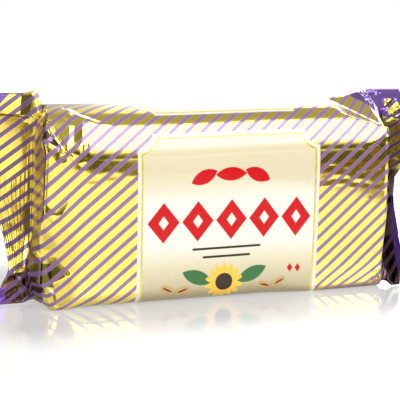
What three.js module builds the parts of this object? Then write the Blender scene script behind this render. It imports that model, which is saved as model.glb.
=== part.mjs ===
// Shut pack of halva: a brick-shaped block standing on its long narrow side, wrapped in
// thin metallised film that is closed by a crimped fin at each end and by a flat seam
// along the back. One closed solid, in mm. X runs along the pack, the label side faces
// -Y, Z is up, and the flat base lies on Z = 0.
import * as THREE from 'three';

// Block inside the film
const HALF_LENGTH = 58;        // middle of the pack to the edge of the end face
const HALF_DEPTH = 17.5;       // mid-plane to the front or the back face
const CREST_LEFT = 60.1;       // height of the slightly domed top, left half
const CREST_RIGHT = 61.4;      // the film stands a little higher to the right
const BEVEL_START = 46;        // where the front face starts to roll over to the top
const BEVEL_PULL = 8.5;        // how far the roll-over keeps to the front face
const BEVEL_REACH = 13;        // how far from the mid-plane it meets the top
const BACK_RADIUS = 6;         // back top edge
const BASE_RADIUS_LEFT = 4.6;  // front bottom edge, left half
const BASE_RADIUS_RIGHT = 1.8; // front bottom edge, right half
const BASE_RADIUS_BACK = 3.2;
const FACE_SWELL = 0.5;        // the front and back faces are very slightly full

// Seam along the back
const SEAM_LOW = 25, SEAM_HIGH = 36, SEAM_THICK = 0.7;

// Film coordinate along the pack: body, corner, fin root, collar, middle of fin, rim
const BODY = 44, CORNER = 58, ROOT = 75, COLLAR = 77.4, FIN = 83.4, RIM = 89.4;
const FIN_HALF = 0.4;          // half the thickness of the pressed fin
const RIDGE = 0.32;            // height of the crimp ridges
const SOFTEN = 1.5;            // rounding of the film over the corners

// Shares of the film's half girth at which the fins change: tail, waist, fold line, ear
const TAIL = 0.17, WAIST = 0.275, FOLD = 0.824, EAR = 0.91;

// Columns of the front half and of the back half: share from, share to, number of columns
const ZONES = [[0, 0.13, 2], [0.13, 0.22, 4], [0.22, 0.66, 9], [0.66, EAR, 8], [EAR, 1, 3]];
const SEAM_SHARES = [0.4515, 0.456, 0.573, 0.5775];

const clamp = (v, lo, hi) => Math.min(hi, Math.max(lo, v));
const lerp = (a, b, k) => a + (b - a) * k;
const mix = (p, q, k) => p.map((v, i) => lerp(v, q[i], k));

// 0 below a, 1 above b, smooth between
function ease(a, b, x) {
  const k = clamp((x - a) / (b - a), 0, 1);
  return k * k * (3 - 2 * k);
}

// Value at x of a curve given by rising [x, value] stops
function curve(stops, x) {
  for (let i = 1; i < stops.length; i++) {
    const [x0, v0] = stops[i - 1];
    const [x1, v1] = stops[i];
    if (x <= x1) return lerp(v0, v1, clamp((x - x0) / (x1 - x0), 0, 1));
  }
  return stops[stops.length - 1][1];
}

// A hollow or a swelling, 1 at its middle
const spot = (dx, dz, rx, rz) => Math.exp(-((dx / rx) ** 2) - ((dz / rz) ** 2));

function cubic(p0, p1, p2, p3, k) {
  const m = 1 - k;
  return p0.map((v, i) => m * m * m * v + 3 * m * m * k * p1[i] + 3 * m * k * k * p2[i]
    + k * k * k * p3[i]);
}

// Half outline of the wrapped block at x, from the middle of the base to the crest
function halfOutline(side, x) {
  const front = side < 0;
  const crest = lerp(CREST_LEFT, CREST_RIGHT, ease(-30, 40, x));
  const r = front ? lerp(BASE_RADIUS_LEFT, BASE_RADIUS_RIGHT, ease(12, 34, x) + ease(44, 54, -x))
    : BASE_RADIUS_BACK;
  const path = [[0, 0]];
  for (let i = 0; i <= 6; i++) {
    const a = (Math.PI / 12) * i;
    path.push([HALF_DEPTH - r + r * Math.sin(a), r - r * Math.cos(a)]);
  }
  const top = front ? BEVEL_START : crest - 0.6 - BACK_RADIUS;
  for (let i = 1; i <= 8; i++) path.push([HALF_DEPTH, lerp(r, top, i / 8)]);
  for (let i = 1; i <= 12; i++) {
    const k = i / 12;
    path.push(front
      ? cubic([HALF_DEPTH, top], [HALF_DEPTH, top + BEVEL_PULL], [BEVEL_REACH, crest - 0.4],
        [0, crest], k)
      : cubic([HALF_DEPTH, top], [HALF_DEPTH, crest - 0.6], [HALF_DEPTH - 1, crest - 0.6],
        [0, crest], k));
  }
  return path;
}

// Point at share t of the length of a path
function along(path, t) {
  const steps = path.slice(1).map((p, i) => Math.hypot(p[0] - path[i][0], p[1] - path[i][1]));
  let left = t * steps.reduce((a, b) => a + b, 0);
  for (let i = 0; i < steps.length; i++) {
    if (left <= steps[i] || i === steps.length - 1) {
      return mix(path[i], path[i + 1], clamp(left / steps[i], 0, 1));
    }
    left -= steps[i];
  }
  return path[0];
}

// Film over the block: [x, y, z] at share t of the half girth
function body(side, t, x) {
  const [y, z] = along(halfOutline(side, x), t);
  const full = FACE_SWELL * Math.sin(Math.PI * clamp(z / 50, 0, 1)) * Math.cos(x / 37);
  const seam = side > 0 ? SEAM_THICK * ease(SEAM_LOW - 0.2, SEAM_LOW + 0.2, z)
    * (1 - ease(SEAM_HIGH - 0.2, SEAM_HIGH + 0.2, z)) : 0;
  return [x, side * (y + full * (y / HALF_DEPTH) + seam * (y / HALF_DEPTH)), z];
}

// The two ends. Every entry is a size in mm, along the pack outward from its middle (out),
// across it (across) or up it, against height or against the share of the half girth.
const LEFT = {
  dir: -1,
  corner: [[0, 54.6], [TAIL, 55], [WAIST, 57], [0.45, 58.4], [0.7, 57.4], [FOLD, 56.6],
    [1, 52.4]],
  cornerDepth: [[0, 1], [0.2, 1], [WAIST, 0.8], [0.4, 0.8], [0.52, 0.97], [1, 0.97]],
  rootOut: [[0, 59], [TAIL, 59.6], [WAIST, 60.3], [0.42, 57.8], [0.75, 57.2], [FOLD, 56],
    [1, 54.8]],
  rootUp: [[0, 0.8], [TAIL, 2.6], [WAIST, 10.2], [FOLD, 55.6], [EAR, 56], [1, 56.4]],
  finUp: [[0, 0.25], [TAIL, 0.9], [WAIST, 10.2], [FOLD, 56.8], [EAR, 62.8], [1, 63.4]],
  collarOut: [[0, 61], [TAIL, 61.2], [WAIST, 61.4], [0.42, 59.6], [FOLD, 57.8], [1, 55.8]],
  finOut: [[0, 65], [7, 63.4], [11, 62.8], [18, 63], [26, 63.8], [34, 64.8], [64, 64.8]],
  rimOut: [[0, 70], [6.4, 67.4], [10, 65], [13, 65], [19, 65.6], [25, 66.8], [34, 70.4],
    [44, 72.4], [64, 72.4]],
  lean: [[0, -7.6], [5, -6.2], [12, -3.6], [22, -0.6], [30, 0], [57, 0], [64, 1]],
  curl: [[0, -0.5], [9, 0.5], [14, 2.4], [24, 3.4], [36, 1], [64, 0]],
};
const RIGHT = {
  dir: 1,
  corner: [[0, 54.2], [0.2, 55.6], [0.3, 56.2], [0.42, 57.4], [0.52, 58], [0.7, 57.8],
    [FOLD, 57], [1, 55]],
  cornerDepth: [[0, 0.97], [0.2, 0.97], [0.5, 1], [1, 0.97]],
  rootOut: [[0, 59], [WAIST, 60], [0.4, 61.6], [0.6, 61.6], [FOLD, 60.4], [1, 59]],
  rootUp: [[0, 4], [TAIL, 4.4], [WAIST, 10], [FOLD, 56.4], [EAR, 60.2], [1, 61.6]],
  finUp: [[0, 0.25], [TAIL, 0.9], [WAIST, 10.2], [FOLD, 57], [EAR, 62.6], [1, 64.2]],
  collarOut: [[0, 60.4], [WAIST, 62], [0.4, 63.6], [FOLD, 62.2], [1, 61.4]],
  finOut: [[0, 61.8], [4, 64], [10, 65.6], [24, 66], [34, 65.4], [42, 67.6], [64, 67]],
  rimOut: [[0, 63.4], [4, 67], [10, 69.6], [15, 70.2], [27, 69.4], [34.5, 68.2], [41, 73],
    [64, 73]],
  lean: [[0, -18], [6, -13.4], [14, -8], [24, -4.6], [33, -3], [44, -6], [57, -1], [64, 4.5]],
  curl: [[0, 0], [4, 1.5], [14, 1], [33, 0.6], [45, -1.5], [64, 1.5]],
};

// Mid-surface of the fin at one of its three lines, and the film on one side of it
function finPoint(end, side, t, outward, up, curlShare) {
  const y = curve(end.lean, up) + curlShare * curve(end.curl, up);
  const edge = Math.min(1, 12 * t, 12 * (1 - t));
  return [end.dir * outward, y + side * FIN_HALF * edge, up];
}

// Film of one end at the six lines it is drawn through
function endPoint(end, side, t, line) {
  const up = curve(end.finUp, t);
  if (line === 0) return body(side, t, end.dir * BODY);
  if (line === 1) {
    const [, y, z] = body(side, t, end.dir * (HALF_LENGTH - 1));
    return [end.dir * curve(end.corner, t), y * curve(end.cornerDepth, t), z];
  }
  if (line === 2) {
    const z = curve(end.rootUp, t);
    const edge = Math.min(1, 12 * t, 12 * (1 - t));
    return [end.dir * curve(end.rootOut, t), curve(end.lean, z) * 0.8 + side * 0.9 * edge, z];
  }
  if (line === 3) return finPoint(end, side, t, curve(end.collarOut, t), up, 0);
  if (line === 4) return finPoint(end, side, t, curve(end.finOut, up), up, 0.25);
  return finPoint(end, side, t, curve(end.rimOut, up), up, 1);
}

const LINES = [BODY, CORNER, ROOT, COLLAR, FIN, RIM];

// Film at film coordinate s (negative to the left), before it is softened
function crisp(side, t, s) {
  const end = s < 0 ? LEFT : RIGHT;
  const q = Math.abs(s);
  if (q <= BODY) return body(side, t, s);
  const i = clamp(LINES.findIndex((v) => q <= v), 1, LINES.length - 1);
  const k = (q - LINES[i - 1]) / (LINES[i] - LINES[i - 1]);
  return mix(endPoint(end, side, t, i - 1), endPoint(end, side, t, i), Math.min(1, k));
}

// Hollows pressed into the front near the ends
function dents(side, p) {
  if (side > 0) return 0;
  return 0.9 * spot(p[0] + 54, p[2] - 34, 3, 4) + 0.7 * spot(p[0] + 45, p[2] - 47, 5, 2.5)
    + 0.6 * spot(p[0] - 48, p[2] - 44, 7, 3);
}

// Creases in the film near the corners: two ends as [along the pack, share of the half
// girth], half width and height
const CREASES = [
  [[-55, 0.95], [-46, 0.75], 4, 1.1], [[-55, 0.92], [-42, 0.93], 3.5, 0.8],
  [[57, 0.83], [40, 0.985], 4.5, 1.2], [[57, 0.82], [24, 0.9], 3.5, 0.6],
  [[-60, 0.3], [-48, 0.22], 4, 1], [[56, 0.27], [47, 0.21], 3.5, 0.6],
];
const GIRTH = 91;              // half girth in mm

// How far a crease lifts the film at (x, t): a sharp line that fades at its far end
function crease([[x0, t0], [x1, t1], wide, high], x, t) {
  const ax = x1 - x0, at = (t1 - t0) * GIRTH;
  const bx = x - x0, bt = (t - t0) * GIRTH;
  const k = clamp((bx * ax + bt * at) / (ax * ax + at * at), 0, 1);
  const d = Math.hypot(bx - k * ax, bt - k * at);
  return high * (1 - 0.9 * k) * Math.max(0, 1 - d / wide);
}

// Film lifted outward along its creases
function creased(side, t, p) {
  if (side > 0) return p;
  const lift = CREASES.reduce((sum, c) => sum + crease(c, p[0], t), 0);
  const up = ease(0.6, 0.95, t);
  const under = 1 - ease(0.1, 0.22, t);
  return [p[0], p[1] - lift * (1 - up) * (1 - under), p[2] + lift * up];
}

// Film softened over its corners, crimped in the fins
function film(side, t, s) {
  const q = Math.abs(s);
  const w = SOFTEN * ease(BODY - 2, BODY + 4, q) * (1 - 0.7 * ease(ROOT - 3, ROOT, q));
  const n = 4;
  let p = [0, 0, 0];
  for (let i = -n; i <= n; i++) {
    const c = crisp(side, t, clamp(s + (w * i) / n, -RIM, RIM));
    p = p.map((v, j) => v + c[j] / (2 * n + 1));
  }
  p[1] += dents(side, p);
  return q < ROOT - 2 ? creased(side, t, p) : p;
}

// Stations along the film; the last ones follow the crimp ridges
function stations() {
  const half = [5, 15, 25, 35, 42, 46, 49.5, 52.5, 55, 56.6, 57.6, 58.6, 60, 62.5, 65.5,
    68.5, 71.5, 73.6, 74.8, 76];
  for (let s = COLLAR; s < RIM - 0.01; s += 0.8) half.push(s);
  half.push(RIM);
  return [...half.map((s) => -s).reverse(), ...half];
}

// Sideways zigzag of the crimp at station number i from the collar
const crimp = (q, t, i) => (q < COLLAR + 0.4 || q > RIM - 0.4 ? 0
  : (i % 2 ? RIDGE : -RIDGE) * ease(0.2, 0.3, t) * (1 - ease(0.86, 0.92, t)));

// Shares of the half girth at which the columns stand, from the base to the crest
function shares() {
  const list = [1, ...SEAM_SHARES];
  for (const [a, b, n] of ZONES) {
    for (let i = 0; i < n; i++) list.push(lerp(a, b, i / n));
  }
  return list.sort((a, b) => a - b);
}

const SHARES = shares();
const COLUMNS = SHARES.length - 1;

function ring(s, i) {
  const points = [];
  for (let c = 0; c < 2 * COLUMNS; c++) {
    const side = c <= COLUMNS ? -1 : 1;
    const t = SHARES[c <= COLUMNS ? c : 2 * COLUMNS - c];
    const p = film(side, t, s);
    points.push(p[0], p[1] + crimp(Math.abs(s), t, i), Math.max(0, p[2]));
  }
  return points;
}

// Skin between the rings, and a strip closing each fin along its rim
function packSolid() {
  const list = stations();
  const n = 2 * COLUMNS;
  const position = list.flatMap((s, i) => ring(s, i));
  const index = [];
  for (let i = 0; i + 1 < list.length; i++) {
    for (let c = 0; c < n; c++) {
      const a = i * n + c, b = i * n + ((c + 1) % n);
      index.push(a, a + n, b, b, a + n, b + n);
    }
  }
  const last = (list.length - 1) * n;
  for (let c = 0; c < COLUMNS; c++) {
    const back = (k) => (n - k) % n;
    const quad = [c, c + 1, back(c + 1), back(c)];
    for (const [i, j, k] of [[0, 1, 2], [0, 2, 3]]) {
      const tri = [quad[i], quad[j], quad[k]];
      if (new Set(tri).size < 3) continue;
      index.push(...tri);
      index.push(last + tri[0], last + tri[2], last + tri[1]);
    }
  }
  const g = new THREE.BufferGeometry();
  g.setAttribute('position', new THREE.Float32BufferAttribute(position, 3));
  g.setIndex(index);
  g.computeVertexNormals();
  g.computeBoundingBox();
  const { min, max } = g.boundingBox;
  g.translate(-(min.x + max.x) / 2, -(min.y + max.y) / 2, 0);
  return g;
}

const gold = new THREE.MeshStandardMaterial({
  name: 'gold_film', color: 0xe3ce46, roughness: 0.26, metalness: 0.9,
});

const pack = new THREE.Mesh(packSolid(), gold);
pack.name = 'halva_pack';

const group = new THREE.Group();
group.name = 'sunflower_halva';
group.add(pack);
export default group;
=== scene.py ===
"""A shut pack of halva in striped gold film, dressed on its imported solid."""

import math

import bpy
import numpy as np
from mathutils import Matrix, Vector


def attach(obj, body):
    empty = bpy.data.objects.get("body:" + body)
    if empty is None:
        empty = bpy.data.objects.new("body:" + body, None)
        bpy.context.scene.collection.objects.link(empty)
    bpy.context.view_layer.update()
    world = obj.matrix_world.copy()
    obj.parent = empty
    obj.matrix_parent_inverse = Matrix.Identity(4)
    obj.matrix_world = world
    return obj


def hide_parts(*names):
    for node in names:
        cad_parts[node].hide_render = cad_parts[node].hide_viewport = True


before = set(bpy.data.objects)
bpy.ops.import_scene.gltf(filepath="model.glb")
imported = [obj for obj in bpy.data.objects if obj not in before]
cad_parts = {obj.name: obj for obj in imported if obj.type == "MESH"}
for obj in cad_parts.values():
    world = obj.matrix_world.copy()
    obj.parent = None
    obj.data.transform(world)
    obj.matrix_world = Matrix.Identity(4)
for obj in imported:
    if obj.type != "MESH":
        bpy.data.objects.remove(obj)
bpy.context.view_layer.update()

MM = 0.001

# ---------------------------------------------------------------------------
# Sizes of the wrapped block, in mm, in the solid's own frame before it is centred
# ---------------------------------------------------------------------------
HALF_LENGTH = 58
HALF_DEPTH = 17.5
# Height of the crest and of where the front face rolls back: at the left, at the right, and the x
# over which one becomes the other
CREST_LEFT, CREST_RIGHT, CREST_CHANGE = 60.1, 61.4, (-30, 40)
BEVEL_START_LEFT, BEVEL_START_RIGHT, BEVEL_CHANGE = 44.2, 45.6, (-40, 30)
BEVEL_PULL, BEVEL_REACH, BEVEL_FLAT = 8.5, 13, 0.4
BACK_RADIUS, BACK_DROP, BACK_FLAT = 6, 1.5, 1
# The front's lower edge is round in the middle and sharper at both ends
BASE_RADIUS_FRONT, BASE_RADIUS_ENDS, BASE_RADIUS_BACK = 4.6, 1.8, 3.2
BASE_CHANGE_LEFT, BASE_CHANGE_RIGHT = (44, 54), (12, 34)
FACE_SWELL, SWELL_HIGH, SWELL_LONG = 0.5, 50, 37
# The front face leans back from this far below the bevel, over this height, and not at the left
LEAN_BACK_LOW, LEAN_BACK_LONG, LEAN_BACK, LEAN_BACK_CHANGE = 5, 6, 0.1, (-54, -38)
SEAM_LOW, SEAM_HIGH, SEAM_THICK, SEAM_STEP = 25, 36, 0.7, 0.2
# The raised crest at the right: its rise by x, its depth, and the heights over which it starts
CREST_RISE = [(40, 0), (46, 0.4), (50, 0.7), (53, 1.2), (56, 2), (60, 2.6)]
CREST_RISE_DEPTH, CREST_RISE_UP = 9, (50, 58)
# The tent of film from that crest to the shoulder below, which sinks to the right
TENT_START, TENT_FADE, TENT_SLOPE, SHOULDER_SLOPE = 42.3, 8, 0.79, 0.33
SHOULDER_UP, SHOULDER_SINK, SHOULDER_LEFT = 0.1, 0.25, 0.6
HALF_GIRTH = 91

# Film coordinate along the pack: body, corner, fin root, collar, middle of fin, rim
LINES = BODY, CORNER, ROOT, COLLAR, FIN, RIM = 44, 58, 75, 77.4, 83.4, 89.4
ROOT_HALF, FIN_HALF = 0.9, 0.4         # half the thickness of the gathered root and of the fin
EDGE_TAPER = 12                        # they thin out over 1/12 of the half girth at both its ends
LEFT_PULL = 1.8                        # the left corner leaves the block late: a power
# The film is softened this far either way, in these steps, from the body on, less in the fins
SOFTEN, SOFTEN_STEPS, SOFTEN_FROM, SOFTEN_FULL = 1.1, 7, BODY - 2, BODY + 4
FIN_CRISP, FIN_CRISP_FROM = 0.7, ROOT - 3
# Shares of the half girth: the gusset's lowest and narrowest, the dog-ear's lower and upper fold
TAIL, WAIST, FOLD, EAR = 0.17, 0.275, 0.824, 0.91

# The two ends, as rising stops. Over the share of the half girth (0 at the base, 1 at the crest):
# corner, root_out and collar_out say how far out the film's lines lie, root_up and fin_up how high,
# and corner_depth how much of the block's depth is left at its corner. Over the height in mm:
# fin_out and rim_out say how far out the fin and its rim reach, lean how far the fin stands from
# the middle, curl how far its rim curls, and band where the purple begins. The film_ values lay the
# flat print on the fin: its u at 57 mm out, u per mm out, v per mm of height, and v at height 0.
LEFT = dict(
    direction=-1,
    corner=[(0, 54.6), (TAIL, 55), (WAIST, 57), (0.45, 58.4), (0.7, 57.4), (FOLD, 56.6), (1, 52.4)],
    corner_depth=[(0, 0.98), (0.15, 0.96), (0.22, 0.89), (WAIST, 0.83), (0.4, 0.8), (0.52, 0.97),
                  (1, 0.97)],
    root_out=[(0, 59), (TAIL, 59.6), (WAIST, 60.3), (0.42, 57.8), (0.75, 57.2), (FOLD, 56),
              (1, 54.8)],
    root_up=[(0, 0.8), (TAIL, 2.6), (WAIST, 10.2), (FOLD, 55.6), (EAR, 56), (1, 56.4)],
    fin_up=[(0, 0.25), (TAIL, 0.9), (WAIST, 10.2), (FOLD, 56.8), (EAR, 62.8), (1, 63.4)],
    collar_out=[(0, 61), (TAIL, 61.2), (WAIST, 61.4), (0.42, 59.6), (FOLD, 57.8), (1, 55.8)],
    fin_out=[(0, 65), (7, 63.4), (11, 62.8), (18, 63), (26, 63.8), (34, 64.8), (64, 64.8)],
    rim_out=[(0, 70), (6.4, 67.4), (10, 65), (13, 65), (19, 65.6), (25, 66.8), (34, 70.4),
             (44, 72.4), (64, 72.4)],
    lean=[(0, -4.55), (6, -3.8), (12, -3), (22, -0.7), (30, 0), (57, 0), (64, 1)],
    curl=[(0, -0.2), (9, 0.4), (14, 1.8), (24, 3.4), (36, 1), (64, 0)],
    root_lean=0.8, fin_curl=0.25, crimp=1, film_root=68.5, film_along=0.944,
    film_up=1.1355, film_start=11.65,
    band=[(0, 66.4), (5, 66.8), (7, 68.8), (56, 70), (60.3, 66.8), (64, 63)],
)
RIGHT = dict(
    direction=1,
    corner=[(0, 55.4), (0.2, 56.6), (0.3, 56.6), (0.42, 57.4), (0.52, 58), (0.7, 57.8), (FOLD, 57),
            (1, 55)],
    corner_depth=[(0, 0.97), (0.2, 0.97), (0.5, 1), (1, 0.97)],
    root_out=[(0, 59), (WAIST, 60), (0.4, 61.6), (0.6, 61.6), (FOLD, 60.4), (1, 59)],
    root_up=[(0, 1.6), (TAIL, 2.8), (WAIST, 9), (FOLD, 56.4), (EAR, 60.4), (1, 63.9)],
    fin_up=[(0, 0.25), (TAIL, 0.9), (WAIST, 10.2), (FOLD, 57), (EAR, 62.6), (1, 64.2)],
    collar_out=[(0, 60.4), (WAIST, 62), (0.4, 63.6), (FOLD, 62.2), (1, 61.4)],
    fin_out=[(0, 61.8), (4, 64), (10, 65.6), (24, 66), (34, 65.4), (42, 67.6), (64, 67)],
    rim_out=[(0, 63.4), (4, 67.4), (10, 70.2), (15, 70.8), (27, 69.8), (34.5, 68.2), (41, 73),
             (64, 73)],
    lean=[(0, -18), (6, -13.4), (14, -8), (24, -5), (30, -4.7), (38, -4.45), (44, -4.3), (50, -4.2),
          (53, -4.1), (58, -3.6), (64, 2.9)],
    curl=[(0, 0), (4, 3), (14, 3.6), (28, 3.4), (34, 0.9), (45, 0.2), (57, 0.5), (64, 0.6)],
    root_lean=1, fin_curl=0.5, crimp=0.3, film_root=75, film_along=0.727,
    film_up=1.241, film_start=4.1,
    band=[(0, 65), (12, 67), (20, 68), (33.5, 68.6), (35.5, 71), (54, 71), (56.5, 58.5), (58.5, 57),
          (60.7, 54), (62, 51.5), (64, 50)],
)


# ---------------------------------------------------------------------------
# The film's shape
# ---------------------------------------------------------------------------
def ease(a, b, x):
    """0 below a, 1 above b, smooth between."""
    k = np.clip((np.asarray(x, float) - a) / (b - a), 0, 1)
    return k * k * (3 - 2 * k)


def curve(stops, x):
    """Value at x of a curve given by rising (x, value) stops."""
    xs, values = zip(*stops)
    return np.interp(x, xs, values)


def cubic(p0, p1, p2, p3, k):
    """Points at k (0 to 1) on the curve from p0 to p3 that p1 and p2 pull on."""
    k = k[:, None]
    m = 1 - k
    return (m ** 3 * np.array(p0) + 3 * m * m * k * np.array(p1)
            + 3 * m * k * k * np.array(p2) + k ** 3 * np.array(p3))


def bevel_start(x):
    """Height at x where the front face rolls back."""
    return BEVEL_START_LEFT + (BEVEL_START_RIGHT - BEVEL_START_LEFT) * ease(*BEVEL_CHANGE, x)


def half_outline(side, x):
    """Half outline (y, z) of the wrapped block at x, from the middle of the base to the crest."""
    crest = CREST_LEFT + (CREST_RIGHT - CREST_LEFT) * ease(*CREST_CHANGE, x)
    radius, top = BASE_RADIUS_BACK, crest - BACK_DROP - BACK_RADIUS
    if side < 0:
        share = ease(*BASE_CHANGE_RIGHT, x) + ease(*BASE_CHANGE_LEFT, -x)
        radius = BASE_RADIUS_FRONT + (BASE_RADIUS_ENDS - BASE_RADIUS_FRONT) * share
        top = bevel_start(x)
    turn = np.linspace(0, math.pi / 2, 13)
    corner = np.column_stack([HALF_DEPTH - radius + radius * np.sin(turn),
                              radius - radius * np.cos(turn)])
    roll = np.linspace(0, 1, 40)
    if side < 0:
        cap = cubic((HALF_DEPTH, top), (HALF_DEPTH, top + BEVEL_PULL),
                    (BEVEL_REACH, crest - BEVEL_FLAT), (0, crest), roll)
    else:
        cap = cubic((HALF_DEPTH, top), (HALF_DEPTH, crest - BACK_DROP),
                    (HALF_DEPTH - BACK_FLAT, crest - BACK_DROP), (0, crest), roll)
    return np.vstack([[(0, 0)], corner, cap])


def along(path, share):
    """Points at these shares of a path's length."""
    steps = np.hypot(*np.diff(path, axis=0).T)
    reach = np.concatenate([[0], np.cumsum(steps)])
    where = share * reach[-1]
    return np.interp(where, reach, path[:, 0]), np.interp(where, reach, path[:, 1])


def body(side, t, x):
    """Film over the block at x, as three rows: x, y, z."""
    y, z = along(half_outline(side, x), t)
    full = FACE_SWELL * np.sin(np.pi * np.clip(z / SWELL_HIGH, 0, 1)) * math.cos(x / SWELL_LONG)
    if side < 0:
        rise = np.clip(z - bevel_start(x) + LEAN_BACK_LOW, 0, LEAN_BACK_LONG)
        lean = LEAN_BACK * rise * rise / (2 * LEAN_BACK_LONG)
        full = full - lean * ease(*LEAN_BACK_CHANGE, x)
    if side > 0:
        full = full + SEAM_THICK * (ease(SEAM_LOW - SEAM_STEP, SEAM_LOW + SEAM_STEP, z)
                                    - ease(SEAM_HIGH - SEAM_STEP, SEAM_HIGH + SEAM_STEP, z))
    y = y + full * y / HALF_DEPTH
    crest_rise = curve(CREST_RISE, x)
    z = z + crest_rise * np.clip(1 - y / CREST_RISE_DEPTH, 0, 1) * ease(*CREST_RISE_UP, z)
    if side < 0:
        # The film hangs like a tent from the raised crest to the block's sunken shoulder
        tent = CREST_RIGHT + crest_rise - TENT_SLOPE * y
        shoulder = (CREST_RIGHT + SHOULDER_UP - SHOULDER_SLOPE * y
                    - SHOULDER_SINK * (x - TENT_START)
                    + SHOULDER_LEFT * max(0, TENT_START - x))
        drop = np.maximum(z - np.maximum(tent, shoulder), 0)
        z = z - drop * ease(TENT_START - TENT_FADE, TENT_START, x)
    return np.array([np.full_like(t, x), side * y, z])


def end_line(end, side, t, line):
    """Film of one end at one of the lines it is drawn through."""
    out = end["direction"]
    edge = np.clip(EDGE_TAPER * np.minimum(t, 1 - t), 0, 1)
    if line == 0:
        return body(side, t, out * BODY)
    if line == 1:
        _, y, z = body(side, t, out * (HALF_LENGTH - 1))
        return np.array([out * curve(end["corner"], t), y * curve(end["corner_depth"], t), z])
    if line == 2:
        z = curve(end["root_up"], t)
        return np.array([out * curve(end["root_out"], t),
                         curve(end["lean"], z) * end["root_lean"] + side * ROOT_HALF * edge, z])
    z = curve(end["fin_up"], t)
    reach = (curve(end["collar_out"], t) if line == 3
             else curve(end["fin_out" if line == 4 else "rim_out"], z))
    y = curve(end["lean"], z) + {3: 0, 4: end["fin_curl"], 5: 1}[line] * curve(end["curl"], z)
    return np.array([out * reach, y + side * FIN_HALF * edge, z])


def crisp_film(side, t):
    """A function of the film coordinate s that gives the film before it is softened."""
    lines = {d: [end_line(end, side, t, i) for i in range(len(LINES))]
             for d, end in ((-1, LEFT), (1, RIGHT))}
    pulled = {d: lines[d][1] - body(side, t, d * (HALF_LENGTH - 1)) for d in lines}

    def at(s):
        reach = abs(s)
        if reach <= BODY:
            return body(side, t, s)
        if reach <= CORNER:
            k = (reach - BODY) / (CORNER - BODY)
            x = BODY + k * (HALF_LENGTH - 1 - BODY)
            share = k if s > 0 else k ** LEFT_PULL
            return body(side, t, math.copysign(x, s)) + share * pulled[1 if s > 0 else -1]
        i = int(np.clip(np.searchsorted(LINES, reach), 1, len(LINES) - 1))
        k = min(1, (reach - LINES[i - 1]) / (LINES[i] - LINES[i - 1]))
        a, b = lines[1 if s > 0 else -1][i - 1:i + 1]
        return a + (b - a) * k

    return at


def soft_film(side, t, stations):
    """Film softened over its corners: an array (station, xyz, column)."""
    at = crisp_film(side, t)
    rows = []
    for s in stations:
        reach = abs(s)
        crisp = FIN_CRISP * ease(FIN_CRISP_FROM, ROOT, reach)
        width = SOFTEN * ease(SOFTEN_FROM, SOFTEN_FULL, reach) * (1 - crisp)
        if width < 1e-6:
            rows.append(at(s))
            continue
        shifts = np.linspace(-width, width, SOFTEN_STEPS)
        rows.append(sum(at(float(np.clip(s + d, -RIM, RIM))) for d in shifts) / len(shifts))
    return np.array(rows)


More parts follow.
